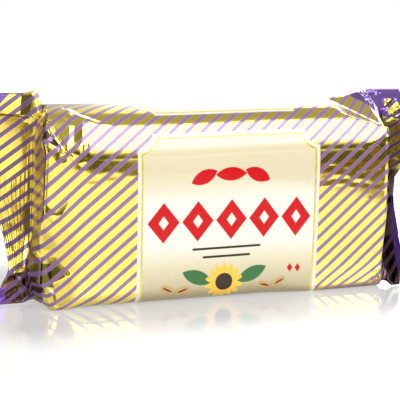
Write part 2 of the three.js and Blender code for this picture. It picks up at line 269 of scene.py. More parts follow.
# ---------------------------------------------------------------------------
# Creases, hollows and crimping
# ---------------------------------------------------------------------------
# Folds on the front half. Each runs through points (film coordinate, share of the half girth)
# and has a flat top, a flank to the left of its run and one to the right, all as widths in mm,
# and a height at each point: a valley has a negative one.
FOLDS = [
    # top left: the dog-ear's raised edge, its hollow on the left down to a thin lip, and the crease
    # that runs right from its tip
    ([(-50.2, 0.89), (-49.5, 0.815), (-50.9, 0.737)], 0.55, 3.4, 5.5, (0.3, 1.2, 0.7)),
    ([(-56.8, 0.85), (-54.6, 0.783), (-52.4, 0.742)], 0, 0.5, 4.6, (-1.0, -1.1, -0.8)),
    ([(-57, 0.845), (-54.9, 0.777), (-52.6, 0.737)], 0.25, 0.5, 0.4, (0.5, 0.6, 0.6)),
    ([(-59, 0.775), (-56.5, 0.763), (-53, 0.738)], 0, 0.4, 5.5, (0.9, 1.1, 0.3)),
    ([(-49.6, 0.90), (-46, 0.862), (-41, 0.828), (-34, 0.82)], 0, 1.6, 5, (0.3, 0.6, 0.5, 0)),
    ([(-45.4, 0.75), (-46.2, 0.695)], 0.15, 1.4, 1.4, (0.35, 0.2)),
    # left front: a small smile-shaped dent and the soft fold beside the corner
    ([(-58, 0.535), (-54.8, 0.50), (-53, 0.508), (-50.3, 0.566)], 0, 2.3, 0.4,
     (0.2, 0.34, 0.34, 0)),
    ([(-58, 0.50), (-55, 0.45), (-52.5, 0.37)], 0, 3, 3, (0.3, 0.3, 0.1)),
    ([(-62, 0.44), (-58.5, 0.415), (-56, 0.42)], 0, 2.4, 0.6, (0.2, 0.3, 0)),
    # bottom left: the gusset's flat facet, its lower edge, and the thin bright lips
    ([(-74, 0.275), (-66, 0.28), (-58, 0.278), (-55.5, 0.288), (-50, 0.312)], 0, 7.5, 1.6,
     (0.8, 1.05, 1.3, 1.35, 0.3)),
    ([(-58, 0.277), (-56.4, 0.252), (-56.3, 0.205)], 0.2, 0.8, 0.8, (0.4, 0.6, 0.4)),
    ([(-82, 0.243), (-78.5, 0.24), (-76, 0.21), (-74.5, 0.187), (-70, 0.197), (-65, 0.222),
      (-60, 0.24)], 0.2, 0.8, 0.8, (0, 0.4, 0.5, 0.5, 0.5, 0.4, 0)),
    ([(-53.2, 0.355), (-50, 0.30)], 0, 0.3, 1.2, (0, 0.15)),
    # left fin: the turned edge of the flap at its top
    ([(-76.4, 0.835), (-76.2, 1)], 1.3, 2.4, 1.2, (0.7, 1.3)),
    # right front: the corner of the bevel, its pale edge, and small scratches
    ([(49, 0.70), (52, 0.737), (57, 0.77)], 0, 3.5, 5, (0, 0.6, 0.7)),
    ([(57.2, 0.75), (57.3, 0.62), (57.2, 0.50)], 0.25, 0.6, 0.6, (0.3, 0.3, 0)),
    ([(44, 0.566), (46, 0.568)], 0, 0.7, 0.2, (0.05, 0.05)),
    ([(50.5, 0.521), (52.2, 0.523)], 0, 0.7, 0.2, (0.05, 0.05)),
    ([(54, 0.555), (56.4, 0.56)], 0, 0.7, 0.2, (0.05, 0.05)),
    ([(55, 0.235), (57.5, 0.255)], 0.1, 1, 0.8, (0.3, 0.5)),
    ([(54.6, 0.215), (56.6, 0.222)], 0.1, 0.8, 0.8, (0.4, 0.2)),
]
# Fields of fine ripples on the front half: the film coordinate's and the girth share's limits, how
# long and how wide a ripple is in mm, and its height
RIPPLES = [
    (26, 60, 0.56, 0.69, 20, 3.4, 0.016),
    (-50, -26, 0.60, 0.70, 20, 4, 0.012),
    (78.8, 86.4, 0.80, 0.89, 5, 3.6, 0.6),
    (-92, -58, 0.15, 0.275, 9, 5, 0.04),
    (53.5, 58.5, 0.19, 0.265, 4, 2.6, 0.16),
    (60, 90, 0.60, 0.82, 12, 5, 0.03),
    (57, 82, 0.885, 1.02, 7, 5, 0.13),
]
# The waves that make up a ripple: size, slant and start. A field fades over a sixth at each side
RIPPLE_WAVES = [(1, 0.9, 0), (0.73, -1.3, 1.9), (1.42, 0.5, 4.1), (0.87, 1.9, 2.6),
                (1.15, -0.6, 5.3)]
RIPPLE_FADE = 6
RIDGE_PERIOD, RIDGE_HEIGHT = 1.35, 0.26
CRIMP_RUN, CRIMP_DEPTH = "crimp_run", "crimp_depth"
# The ridges fade at the fin's edges, over this far, and at top and bottom, over these shares of the
# half girth. Their height has an even part and a part that comes and goes
CRIMP_FADE, CRIMP_LOW, CRIMP_HIGH = 0.8, (0.24, 0.3), (0.52, 0.64)
CRIMP_EVEN, CRIMP_UNEVEN = 0.55, 0.45


def fold_lift(fold, s, v):
    """Height of one fold over the film coordinates s and v, both in mm."""
    path, flat, wide_left, wide_right, heights = fold
    best, lift = np.full(s.shape, 1e9), np.zeros(s.shape)
    stops = [(p, share * HALF_GIRTH) for p, share in path]
    for (a, b), (c, d), high, next_high in zip(stops, stops[1:], heights, heights[1:]):
        run_s, run_v = c - a, d - b
        k = np.clip(((s - a) * run_s + (v - b) * run_v) / (run_s ** 2 + run_v ** 2), 0, 1)
        gap_s, gap_v = s - a - k * run_s, v - b - k * run_v
        away = np.hypot(gap_s, gap_v)
        wide = np.where(run_s * gap_v - run_v * gap_s > 0, wide_left, wide_right)
        here = (high + (next_high - high) * k) * np.clip(1 - (away - flat) / wide, 0, 1)
        lift = np.where(away < best, here, lift)
        best = np.minimum(best, away)
    return lift


def ripple_lift(field, s, v):
    """Height of one field of ripples over the film coordinates s and v, both in mm."""
    low, high, low_share, high_share, long, wide, height = field
    share = v / HALF_GIRTH
    rim_s, rim_share = (high - low) / RIPPLE_FADE, (high_share - low_share) / RIPPLE_FADE
    mask = (ease(low, low + rim_s, s) * (1 - ease(high - rim_s, high, s))
            * ease(low_share, low_share + rim_share, share)
            * (1 - ease(high_share - rim_share, high_share, share)))
    waves = sum(np.sin(2 * np.pi * (v / (wide * size) + slant * s / long) + start)
                for size, slant, start in RIPPLE_WAVES)
    return height * mask * waves / 2


def outward(points, side):
    """Unit normals of softened film (station, xyz, column), out of the pack."""
    grid = points.transpose(0, 2, 1)
    normal = np.cross(np.gradient(grid, axis=0), np.gradient(grid, axis=1)) * side * -1
    normal /= np.linalg.norm(normal, axis=2, keepdims=True) + 1e-9
    return normal.transpose(0, 2, 1)


def add_folds(points, side, t, stations):
    """Folds and ripples on softened film (station, xyz, column)."""
    if side < 0:
        along_film, round_film = np.meshgrid(stations, t * HALF_GIRTH, indexing="ij")
        lift = (sum(fold_lift(fold, along_film, round_film) for fold in FOLDS)
                + sum(ripple_lift(field, along_film, round_film) for field in RIPPLES))
        points += outward(points, side) * lift[:, None, :]
    points[:, 2] = np.maximum(points[:, 2], 0)


def crimp_depth(stations, t):
    """How much of a ridge's full height is pressed into the fins at each point, 0 to 1."""
    s = np.abs(stations)[:, None]
    crimped = ease(COLLAR, COLLAR + CRIMP_FADE, s) * (1 - ease(RIM - CRIMP_FADE, RIM, s))
    tall = (ease(*CRIMP_LOW, t) * (1 - ease(*CRIMP_HIGH, t)))[None]
    tall = tall * np.where(stations < 0, LEFT["crimp"], RIGHT["crimp"])[:, None]
    tall = tall * (CRIMP_EVEN + CRIMP_UNEVEN * np.sin(1.7 * s + 41 * t) * np.sin(0.6 * s - 23 * t))
    return crimped * tall


def spaced(stops):
    """Rising values through stops (value, step to the next stop)."""
    values = []
    for (a, step), (b, _) in zip(stops, stops[1:]):
        n = max(1, round((b - a) / step))
        values += [a + (b - a) * i / n for i in range(n)]
    return np.array(values + [stops[-1][0]])


# Where the mesh has its lines: along the film, and over the girth's front and back half
HALF_STATIONS = spaced([(0, 2), (30, 1), (38, 0.6), (44, 0.33), (60, 0.6), (74, 0.4),
                        (COLLAR, 0.3), (RIM, 1)])
STATIONS = np.concatenate([-HALF_STATIONS[:0:-1], HALF_STATIONS])
FRONT_SHARES = spaced([(0, 0.03), (0.12, 0.008), (0.18, 0.004), (0.34, 0.0055), (0.68, 0.0032),
                       (0.93, 0.006), (1, 1)])
SEAM_EDGE = 0.4537
BACK_SHARES = spaced([(0, 0.04), (0.12, 0.01), (0.22, 0.02), (0.44, SEAM_EDGE - 0.452),
                      (0.452, 0.0017), (SEAM_EDGE, 0.015), (0.572, 0.004), (0.58, 0.02),
                      (0.7, 0.012), (1, 1)])

# The flat print is drawn under the block at the front's lower corners: how far, in mm of girth,
# between which film coordinates, and the shares of the half girth it fades over above and below
DRAWN_LEFT, DRAWN_LEFT_FROM, DRAWN_RIGHT, DRAWN_RIGHT_FROM = 3.5, (38, 56), 5.5, (26, 46)
DRAWN_TOP, DRAWN_TOP_FADE, DRAWN_LOW, DRAWN_LOW_FADE = 0.29, 0.12, 0.12, 0.05
# How far out the fin's print is measured from and where it takes over, how much of the left end's
# folded face shows, and the u of the rims' narrow closing faces, past all print
FIN_PRINT_OUT, FIN_PRINT_START, FIN_PRINT_FULL = 57, 70, 75
LEFT_FACE_SHOWN, RIM_PRINT_U = 0.62, 100
# The crumpled knot at the right end's top, which is gold: middle and half size, as (s, share), how
# far round it the purple is cut, in half sizes, and how steeply
KNOT_MIDDLE, KNOT_SIZE, KNOT_REACH, KNOT_STEEP = (82.6, 0.845), (3.6, 0.042), 1.6, 8


def bridge(low, low_shares, high, high_shares):
    """Triangles between two rows of points that both run from share 0 to share 1."""
    faces, i, j = [], 0, 0
    while i < len(low) - 1 or j < len(high) - 1:
        if j == len(high) - 1 or (i < len(low) - 1 and low_shares[i + 1] <= high_shares[j + 1]):
            corners = (low[i], low[i + 1], high[j])
            i += 1
        else:
            corners = (low[i], high[j + 1], high[j])
            j += 1
        if len(set(corners)) == 3:
            faces.append(corners)
    return faces


def film_mesh():
    """The whole film as one closed mesh, with its flat pattern as two UV maps in mm."""
    smooth, creased = [], []
    for side, shares in ((-1, FRONT_SHARES), (1, BACK_SHARES)):
        half = soft_film(side, shares, STATIONS)
        smooth.append(half.copy())
        add_folds(half, side, shares, STATIONS)
        creased.append(half)
    whole, ring = (np.concatenate([front, back[:, :, -2:0:-1]], axis=2).transpose(0, 2, 1)
                   for front, back in (smooth, creased))
    rows, columns = ring.shape[:2]
    points = ring.reshape(-1, 3)
    points[:, :2] -= (points[:, :2].min(0) + points[:, :2].max(0)) / 2

    # Girth coordinate: it runs round from the middle of the base and jumps at the back seam
    share = np.concatenate([FRONT_SHARES, 2 - BACK_SHARES[-2:0:-1], [2]])
    lower = share * HALF_GIRTH
    behind = np.where(share[:-1] >= 2 - SEAM_EDGE - 1e-6, 2 * HALF_GIRTH, 0)
    girth_low, girth_high = lower[:-1] - behind, lower[1:] - behind
    gathered = (np.clip((DRAWN_TOP - share) / DRAWN_TOP_FADE, 0, 1) ** 2
                * np.clip((share - DRAWN_LOW) / DRAWN_LOW_FADE, 0, 1))
    drawn = (DRAWN_RIGHT * ease(*DRAWN_RIGHT_FROM, STATIONS)
             + DRAWN_LEFT * ease(*DRAWN_LEFT_FROM, -STATIONS))
    pulled = -drawn[:, None] * gathered[None, :]
    steps = np.linalg.norm(np.diff(whole, axis=0), axis=2)
    middles = (STATIONS[1:] + STATIONS[:-1]) / 2
    steps[(middles > -ROOT) & (middles < -CORNER)] *= LEFT_FACE_SHOWN
    run = np.concatenate([np.zeros((1, columns)), np.cumsum(steps, axis=0)])
    run -= run[rows // 2]
    height = whole[:, :, 2]
    u = run.copy()
    low, high = girth_low + pulled[:, :-1], girth_high + pulled[:, 1:]
    band = np.zeros_like(run)
    # Below the back seam the girth runs down to 0 at the middle of the base, as a negative number
    facing = np.where(low < 0, -1, 1)
    for end in (LEFT, RIGHT):
        here = np.sign(STATIONS) == end["direction"]
        reach = np.abs(whole[:, :, 0])
        past = reach - FIN_PRINT_OUT
        flat_u = end["direction"] * (end["film_root"] + end["film_along"] * past)
        share_in = (ease(FIN_PRINT_START, FIN_PRINT_FULL, np.abs(STATIONS)) * here)[:, None]
        u += share_in * (flat_u - u)
        for v, tall in ((low, height), (high, np.roll(height, -1, axis=1))):
            flat_v = end["film_start"] + end["film_up"] * tall
            v += share_in * (facing * flat_v - v)
        band += here[:, None] * (reach - curve(end["band"], height))
    knot = np.hypot((STATIONS[:, None] - KNOT_MIDDLE[0]) / KNOT_SIZE[0],
                    (share[None, :-1] - KNOT_MIDDLE[1]) / KNOT_SIZE[1])
    band = np.where(knot < KNOT_REACH, np.minimum(band, KNOT_STEEP * (knot - 1)), band)

    i, j = np.meshgrid(np.arange(rows - 1), np.arange(columns), indexing="ij")
    i, j = i.ravel(), j.ravel()
    k = (j + 1) % columns
    quads = np.column_stack([i * columns + j, (i + 1) * columns + j, (i + 1) * columns + k,
                             i * columns + k])
    corners = [(i, j), (i + 1, j), (i + 1, k), (i, k)]
    v_corners = np.column_stack([low[i, j], low[i + 1, j], high[i + 1, j], high[i, j]])
    uv_film = np.stack([np.column_stack([u[c] for c in corners]), v_corners], axis=2)
    uv_band = np.stack([np.column_stack([band[c] for c in corners]), v_corners], axis=2)

    front_rim = list(range(len(FRONT_SHARES)))
    back_rim = [0] + list(range(columns - 1, len(FRONT_SHARES) - 2, -1))
    cap = bridge(front_rim, FRONT_SHARES, back_rim, BACK_SHARES)
    last = (rows - 1) * columns
    caps = cap + [tuple(c + last for c in face[::-1]) for face in cap]

    mesh = bpy.data.meshes.new("halva_film")
    mesh.from_pydata((points * MM).tolist(), [], quads.tolist() + caps)
    for name, values in (("film", uv_film), ("band", uv_band)):
        layer = mesh.uv_layers.new(name=name)
        loops = np.zeros((len(mesh.loops), 2), dtype=np.float32)
        loops[:values.shape[0] * 4] = values.reshape(-1, 2)
        loops[values.shape[0] * 4:, 0] = RIM_PRINT_U
        layer.data.foreach_set("uv", loops.ravel())
    mesh.polygons.foreach_set("use_smooth", [True] * len(mesh.polygons))
    # What the crimping reads: how far past the collar a point lies, and how deep the crimp is there
    crimp_run = np.repeat((np.abs(STATIONS) - COLLAR) * MM, columns)
    depth = np.concatenate([crimp_depth(STATIONS, FRONT_SHARES),
                            crimp_depth(STATIONS, BACK_SHARES)[:, -2:0:-1]], axis=1)
    for name, values in ((CRIMP_RUN, crimp_run), (CRIMP_DEPTH, depth.ravel())):
        layer = mesh.attributes.new(name, "FLOAT", "POINT")
        layer.data.foreach_set("value", values.astype(np.float32))
    mesh.update()
    return mesh


# ---------------------------------------------------------------------------
# Numbers over a surface, written as formulas, and edges of print, whose half widths are in mm
# ---------------------------------------------------------------------------
class Field:
    """A number at every point of a surface: each operation adds one Math node."""

    def __init__(self, tree, socket):
        self.tree = tree
        self.socket = socket

    def math(self, operation, *others):
        node = self.tree.nodes.new("ShaderNodeMath")
        node.operation = operation
        for slot_in, value in zip(node.inputs, (self, *others)):
            if isinstance(value, Field):
                self.tree.links.new(value.socket, slot_in)
            else:
                slot_in.default_value = value
        return Field(self.tree, node.outputs[0])

    def __add__(self, other):
        return self.math("ADD", other)

    def __sub__(self, other):
        return self.math("SUBTRACT", other)

    def __mul__(self, other):
        return self.math("MULTIPLY", other)

    def __truediv__(self, other):
        return self.math("DIVIDE", other)

    def __rsub__(self, other):
        return (self * -1) + other

    __radd__ = __add__
    __rmul__ = __mul__

    def __abs__(self):
        return self.math("ABSOLUTE")

    def least(self, other):
        return self.math("MINIMUM", other)

    def most(self, other):
        return self.math("MAXIMUM", other)

    def sine(self):
        return self.math("SINE")

    def ramp(self, low, high, to_low=0.0, to_high=1.0):
        """to_low below low, to_high above high, smooth between."""
        node = self.tree.nodes.new("ShaderNodeMapRange")
        node.interpolation_type = "SMOOTHSTEP"
        self.tree.links.new(self.socket, node.inputs["Value"])
        for name, value in (("From Min", low), ("From Max", high), ("To Min", to_low),
                            ("To Max", to_high)):
            node.inputs[name].default_value = value
        return Field(self.tree, node.outputs[0])


def hypot(a, b):
    """Length of the two sides a and b of a right angle, for fields."""
    return (a * a + b * b).math("SQRT")


EDGE_SOFT, MARK_SOFT, FINE_SOFT, THIN_SOFT = 0.12, 0.2, 0.08, 0.1


def inside(distance, soft=EDGE_SOFT):
    """1 where a distance in mm is positive, with a thin soft edge."""
    return distance.ramp(-soft, soft)


class Paint:
    """Layers of colour over a surface."""

    def __init__(self, tree, colour):
        self.tree = tree
        node = tree.nodes.new("ShaderNodeRGB")
        node.outputs[0].default_value = (*colour, 1)
        self.socket = node.outputs[0]

    def over(self, colour, mask):
        node = self.tree.nodes.new("ShaderNodeMix")
        node.data_type = "RGBA"
        self.tree.links.new(mask.socket, node.inputs[0])
        self.tree.links.new(self.socket, node.inputs[6])
        if isinstance(colour, Paint):
            self.tree.links.new(colour.socket, node.inputs[7])
        else:
            node.inputs[7].default_value = (*colour, 1)
        self.socket = node.outputs[2]
        return self


def split_fields(tree, socket):
    """x, y and z of a vector."""
    split = tree.nodes.new("ShaderNodeSeparateXYZ")
    tree.links.new(socket, split.inputs[0])
    return [Field(tree, part) for part in split.outputs]


def uv_fields(tree, name):
    """The two coordinates of a UV map."""
    node = tree.nodes.new("ShaderNodeUVMap")
    node.uv_map = name
    return split_fields(tree, node.outputs[0])[:2]


def new_finish(name):
    """A material, its node tree and its shader."""
    material = bpy.data.materials.new(name)
    material.use_nodes = True
    return material, material.node_tree, material.node_tree.nodes["Principled BSDF"]


def noise(tree, scale, detail):
    """Soft blotches fixed to the piece, scale of them to a metre."""
    place = tree.nodes.new("ShaderNodeTexCoord")
    node = tree.nodes.new("ShaderNodeTexNoise")
    node.inputs["Scale"].default_value = scale
    node.inputs["Detail"].default_value = detail
    tree.links.new(place.outputs["Object"], node.inputs["Vector"])
    return Field(tree, node.outputs[0])


# ---------------------------------------------------------------------------
# The crimp ridges of both fins, pressed into the film by Geometry Nodes
# ---------------------------------------------------------------------------
def crimp_tree():
    """Node tree that presses ridges into a film and gives it its finish."""
    tree = bpy.data.node_groups.new("crimp_ridges", "GeometryNodeTree")
    for name, kind in (("Film", "Geometry"), ("Ridge Period", "Float"), ("Ridge Height", "Float"),
                       ("Finish", "Material")):
        tree.interface.new_socket(name, in_out="INPUT", socket_type="NodeSocket" + kind)
    tree.interface.new_socket("Film", in_out="OUTPUT", socket_type="NodeSocketGeometry")
    given = tree.nodes.new("NodeGroupInput").outputs

    def read(name):
        node = tree.nodes.new("GeometryNodeInputNamedAttribute")
        node.data_type = "FLOAT"
        node.inputs["Name"].default_value = name
        return Field(tree, node.outputs["Attribute"])

    turn = read(CRIMP_RUN) / Field(tree, given["Ridge Period"]) * (2 * math.pi)
    lift = turn.sine() * Field(tree, given["Ridge Height"]) * read(CRIMP_DEPTH)
    shift = tree.nodes.new("ShaderNodeCombineXYZ")
    tree.links.new(lift.socket, shift.inputs["Y"])
    press = tree.nodes.new("GeometryNodeSetPosition")
    tree.links.new(given["Film"], press.inputs["Geometry"])
    tree.links.new(shift.outputs[0], press.inputs["Offset"])
    whole = tree.nodes.new("GeometryNodeRealizeInstances")
    tree.links.new(press.outputs[0], whole.inputs[0])
    finish = tree.nodes.new("GeometryNodeSetMaterial")
    tree.links.new(whole.outputs[0], finish.inputs["Geometry"])
    tree.links.new(given["Finish"], finish.inputs["Material"])
    out = tree.nodes.new("NodeGroupOutput")
    tree.links.new(finish.outputs[0], out.inputs[0])
    return tree


def crimp(film, material):
    """Crimps the film's fins and leaves it a plain mesh."""
    modifier = film.modifiers.new("crimps", "NODES")
    modifier.node_group = crimp_tree()
    values = {"Ridge Period": RIDGE_PERIOD * MM, "Ridge Height": RIDGE_HEIGHT * MM,
              "Finish": material}
    for item in modifier.node_group.interface.items_tree:
        if item.in_out == "INPUT" and item.name in values:
            modifier[item.identifier] = values[item.name]
    graph = bpy.context.evaluated_depsgraph_get()
    plain = bpy.data.meshes.new_from_object(film.evaluated_get(graph), depsgraph=graph,
                                            preserve_all_data_layers=True)
    film.modifiers.remove(modifier)
    film.data = plain
    for name in (CRIMP_RUN, CRIMP_DEPTH):
        plain.attributes.remove(plain.attributes[name])


# ---------------------------------------------------------------------------
# The film's print and its painted shade, in mm along (u) and round (v) the flat film
# ---------------------------------------------------------------------------
GOLD = (0.98, 0.77, 0.10)
PURPLE = (0.235, 0.128, 0.285)
END_PURPLE = (0.165, 0.072, 0.34)
# Painted shade: darker stripe purple on the left fin, darker still on the right end's bulge
FIN_SHADE_PURPLE = (0.15, 0.07, 0.19)
BULGE_SHADE_PURPLE = (0.06, 0.025, 0.06)
FIN_SHADE_PURPLE_FROM, BULGE_SHADE_PURPLE_FROM = (-64, -72), (64, 72)       # u where they begin, are full
CREAM = (0.65, 0.58, 0.39)
CREAM_LIGHT = (0.75, 0.73, 0.63)
TAN = (0.34, 0.27, 0.12)
LIGHT_TOP, LIGHT_LOW, TAN_FADE = (42, 32), (11, 21), (15, -1)   # heights the cream changes over
BORDER = (0.68, 0.65, 0.56)
LINE_GOLD = (0.62, 0.52, 0.04)
RED = (0.54, 0.004, 0.007)
BROWN = (0.04, 0.022, 0.01)
LEAF = (0.045, 0.15, 0.045)
SEED = (0.52, 0.33, 0.14)
PETAL = (0.86, 0.52, 0.07)
# How much of the gold line is foil, and how opaque the stripes and the end bands are
LINE_FOIL, STRIPE_OPAQUE, BAND_OPAQUE, BAND_SOFT = 0.3, 0.85, 0.35, 0.15
# The foil's blotches, to a metre, how rough they make it, and what print adds
FOIL_BLOTCHES, FOIL_SMEAR, FOIL_ROUGH, PRINT_ROUGH = 60, (0.3, 0.8), (0.1, 0.17), 0.14
FOIL_SPECULAR, FOIL_BUMP, FOIL_BUMP_DEEP, COAT_ROUGH = 0.2, 0.1, 0.4, 0.04
# How much of the clear coat each mark takes away, and all of them together
MARK_DULL, SHADE_DULL, MOST_DULL = 0.6, 0.8, 0.9

STRIPE_ANGLE = math.radians(40.5)
STRIPE_PERIOD = 3.35
STRIPE_SHARE = 0.39
STRIPE_START = 3.84          # where a stripe's middle runs, in periods
BASE_TO_FACE = 15.6          # girth coordinate of height 0 on the front face

PANEL_LEFT, PANEL_RIGHT = -29.4, 31.8
PANEL_TOP = 55.7 + BASE_TO_FACE
PANEL_NOTCH, PANEL_LOW = 5.1, 1.0

# The front panel's ornament. Heights are above the base, u is along the pack, turns in degrees
LOZENGE_PITCH, LOZENGE_MIDDLE, LOZENGE_HEIGHT, LOZENGES = 11.2, 1.3, 27.2, 5
LOZENGE_OUTER, LOZENGE_INNER = (5.2, 6.6), (1.6, 2.2)
# Red leaves: u, height, length, turn
RED_LEAVES = [(-8.0, 41.4, 4.6, 24), (1.0, 42.0, 5.2, 0), (10.0, 41.4, 4.6, -24)]
RED_LEAF_WIDE = 2.2
RULES, RULE_HALF = [(18.0, 11.5), (15.2, 8.0)], 0.38                  # height, half length
LEAVES = [(-9.6, 158), (8.8, 24)]                                     # u, turn
LEAF_HEIGHT, LEAF_LENGTH, LEAF_WIDE = 8.6, 5.4, 2.3
# Seeds: u, height, turn
SEEDS = [(-14.4, 4.6, 20), (-19.4, 5.2, -28), (13.6, 4.4, -16), (18.6, 5.4, 30)]
SEED_SIZE, SEED_SPLIT = (2.5, 1.35), (1.7, 0.28)
FLOWER_U, FLOWER_HEIGHT, FLOWER_HEART = -0.6, 6.6, 2.9
PETALS, PETAL_ROOT, PETAL_LENGTH = 14, 4.4, 1.9
SMALL_LOZENGES, SMALL_HEIGHT, SMALL_SIZE = (22.2, 25.0), 10.0, (1.0, 1.5)
LINE_INSET, LINE_HALF = 1.45, 0.3
TOP_PANEL = (-26.5, 29.5, 78.6, 105.0)
TOP_NOTCH = 4.4

# Marks painted dark as shade where the folded film keeps the light out. The lap: a painted shadow
# at the edge of the overlap that runs across the left fin, a line v = start + slope * u that fades
# in at the fin's root
LAP_START, LAP_SLOPE, LAP_HALF, LAP_FROM, LAP_FULL = 62.0, -0.19, 0.22, -69.2, -70
SHADOW_BROWN = (0.05, 0.02, 0.01)
# Painted shadow in the pinch under the dog-ear's lip, between two lines that fall to the right.
# Their v is at PINCH_U
PINCH_U, PINCH_LEFT = -57, -58.3
PINCH_TOP, PINCH_TOP_FALL, PINCH_LOW, PINCH_LOW_FALL = 75.6, 1.79, 69.7, 0.53
# Painted shade on the front side of the foot of both ends, up to an edge that climbs outward over
# the end face and drops at the fin
FOOT_FROM, FOOT_FULL, FOOT_EDGE = 58, 58.4, 25.3
FOOT_CLIMB, FOOT_CLIMB_FROM, FOOT_CLIMB_LONG = 0.34, 57, 12.5
FOOT_FIN, FOOT_FIN_FULL, FOOT_FIN_DROP = 69, 71, 7
FOOT_SHADE_BROWN = (0.1, 0.05, 0.014)
# Painted shade on the facet above the left foot: its top, its left end, and its right end, which
# slants
FACET_TOP, FACET_LEFT, FACET_RIGHT, FACET_SLANT = 32.2, -69.5, -54.8, 0.16
FACET_SHADE_OLIVE = (0.2, 0.155, 0.012)
# Painted shade on the neck under the right end's bulge, as rising and falling v
NECK_FROM, NECK_FULL = 66, 67
NECK_RISE, NECK_FALL = (38, 41), (47, 50)
# The lower front of the right fin
SHADE_FROM, SHADE_FULL, SHADE_TOP, SHADE_SOFT, SHADE_SHARE = 69, 70, 50.5, 0.8, 0.85
SHADE_BROWN, SHADE_PURPLE = (0.03, 0.012, 0.012), (0.075, 0.03, 0.2)
# Painted shade: the gold is painted darker where the film turns under the block, less so at the
# left
BASE_SHADE_GOLD, BASE_FADE = (0.2, 0.11, 0.025), (6, -2.5)
BASE_LEFT, BASE_RIGHT, BASE_LEFT_SHARE = -30, 40, 0.35
# The crumpled film of the left end's face is duller
END_DULL, END_DULL_FROM, END_DULL_TO = 0.3, (-58.4, -59), (-69, -68)


def panel_depth(u, v, left, right, top, notch, bottom=None):
    """How deep a point lies in a panel with round notches, in mm: in its top corners, and in its
    bottom corners too where a bottom is given."""
    middle, half = (left + right) / 2, (right - left) / 2
    across = abs(u - middle)
    depth = (half - across).least(top - v).least(hypot(across - half, v - top) - notch)
    if bottom is not None:
        depth = depth.least(v - bottom).least(hypot(across - half, v - bottom) - notch)
    return depth


def turned(u, v, cu, cv, turn):
    """Coordinates from the middle (cu, cv) of a shape that is turned, in degrees."""
    c, s = math.cos(math.radians(turn)), math.sin(math.radians(turn))
    du, dv = u - cu, v - cv
    return du * c + dv * s, dv * c - du * s


def ellipse(u, v, cu, cv, ru, rv, turn):
    """How deep a point lies in an ellipse, about in mm."""
    a, b = turned(u, v, cu, cv, turn)
    return (1 - hypot(a / ru, b / rv)) * min(ru, rv)


def lozenge(u, v, cu, cv, ru, rv):
    """How deep a point lies in a lozenge, in mm."""
    return (1 - abs(u - cu) / ru - abs(v - cv) / rv) * (ru * rv / math.hypot(ru, rv))


def leaf(u, v, cu, cv, length, wide, turn):
    """How deep a point lies in a pointed leaf, where two round shapes overlap, in mm."""
    a, b = turned(u, v, cu, cv, turn)
    radius = (length * length + wide * wide) / (2 * wide)
    return radius - hypot(a, abs(b) + (radius - wide))


def label_print(paint, u, v):
    """Plain ornament on the front panel: lozenges, rules, a sunflower, leaves and seeds.

    Returns the mask of all that is printed."""
    z = v - BASE_TO_FACE
    printed = []

    def put(colour, depth, soft=EDGE_SOFT):
        printed.append(inside(depth, soft))
        paint.over(colour, printed[-1])

    row_half = LOZENGE_PITCH * LOZENGES / 2
    slot_u = (u - LOZENGE_MIDDLE + row_half).math("WRAP", LOZENGE_PITCH, 0.0) - LOZENGE_PITCH / 2
    big = lozenge(slot_u, z, 0, LOZENGE_HEIGHT, *LOZENGE_OUTER)
    core = lozenge(slot_u, z, 0, LOZENGE_HEIGHT, *LOZENGE_INNER)
    put(RED, big.least(core * -1).least(row_half - abs(u - LOZENGE_MIDDLE)))
    for at, height, length, turn in RED_LEAVES:
        put(RED, leaf(u, z, at, height, length, RED_LEAF_WIDE, turn))
    for height, half in RULES:
        put(BROWN, (half - abs(u)).least(RULE_HALF - abs(z - height)), FINE_SOFT)
    for at, turn in LEAVES:
        put(LEAF, leaf(u, z, at, LEAF_HEIGHT, LEAF_LENGTH, LEAF_WIDE, turn))
    for at, height, turn in SEEDS:
        put(SEED, ellipse(u, z, at, height, *SEED_SIZE, turn))
        put(BROWN, ellipse(u, z, at, height, *SEED_SPLIT, turn), FINE_SOFT)
    du, dv = u - FLOWER_U, z - FLOWER_HEIGHT
    turn = dv.math("ARCTAN2", du)
    away = hypot(du, dv)
    put(PETAL, abs((turn * (PETALS / 2)).sine()) * PETAL_LENGTH + PETAL_ROOT - away)
    put(BROWN, FLOWER_HEART - away)
    for at in SMALL_LOZENGES:
        put(RED, lozenge(u, z, at, SMALL_HEIGHT, *SMALL_SIZE), FINE_SOFT)
    ink = printed[0]
    for mask in printed[1:]:
        ink = ink.most(mask)
    return ink


def stripes(u, v):
    """1 on the slanting stripes."""
    w = v * math.cos(STRIPE_ANGLE) - u * math.sin(STRIPE_ANGLE)
    place = (w / STRIPE_PERIOD - STRIPE_START).math("PINGPONG", 0.5)
    return inside((STRIPE_SHARE / 2 - place) * STRIPE_PERIOD)


def pinch_shadow_mask(u, v):
    """1 on the painted shadow in the pinch under the left dog-ear's lip."""
    across = u - PINCH_U
    top = PINCH_TOP - v - across * PINCH_TOP_FALL
    low = v - PINCH_LOW + across * PINCH_LOW_FALL
    return inside(top.least(low).least(u - PINCH_LEFT), MARK_SOFT)


def painted_shade_masks(u, v):
    """Masks of the painted shade on the feet, on the neck and on the facet above the left foot."""
    out = abs(u)
    edge = ((out - FOOT_CLIMB_FROM).least(FOOT_CLIMB_LONG) * FOOT_CLIMB + FOOT_EDGE
            - out.ramp(FOOT_FIN, FOOT_FIN_FULL) * FOOT_FIN_DROP)
    foot_shade = out.ramp(FOOT_FROM, FOOT_FULL) * inside(edge - v, MARK_SOFT) * inside(v + 1)
    neck_shade = u.ramp(NECK_FROM, NECK_FULL) * v.ramp(*NECK_RISE) * v.ramp(*NECK_FALL, 1, 0)
    right = FACET_RIGHT - (v - FOOT_EDGE) * FACET_SLANT - u
    facet_shade = (v - edge).least(FACET_TOP - v).least(right).least(u - FACET_LEFT)
    return foot_shade, neck_shade, inside(facet_shade, MARK_SOFT)


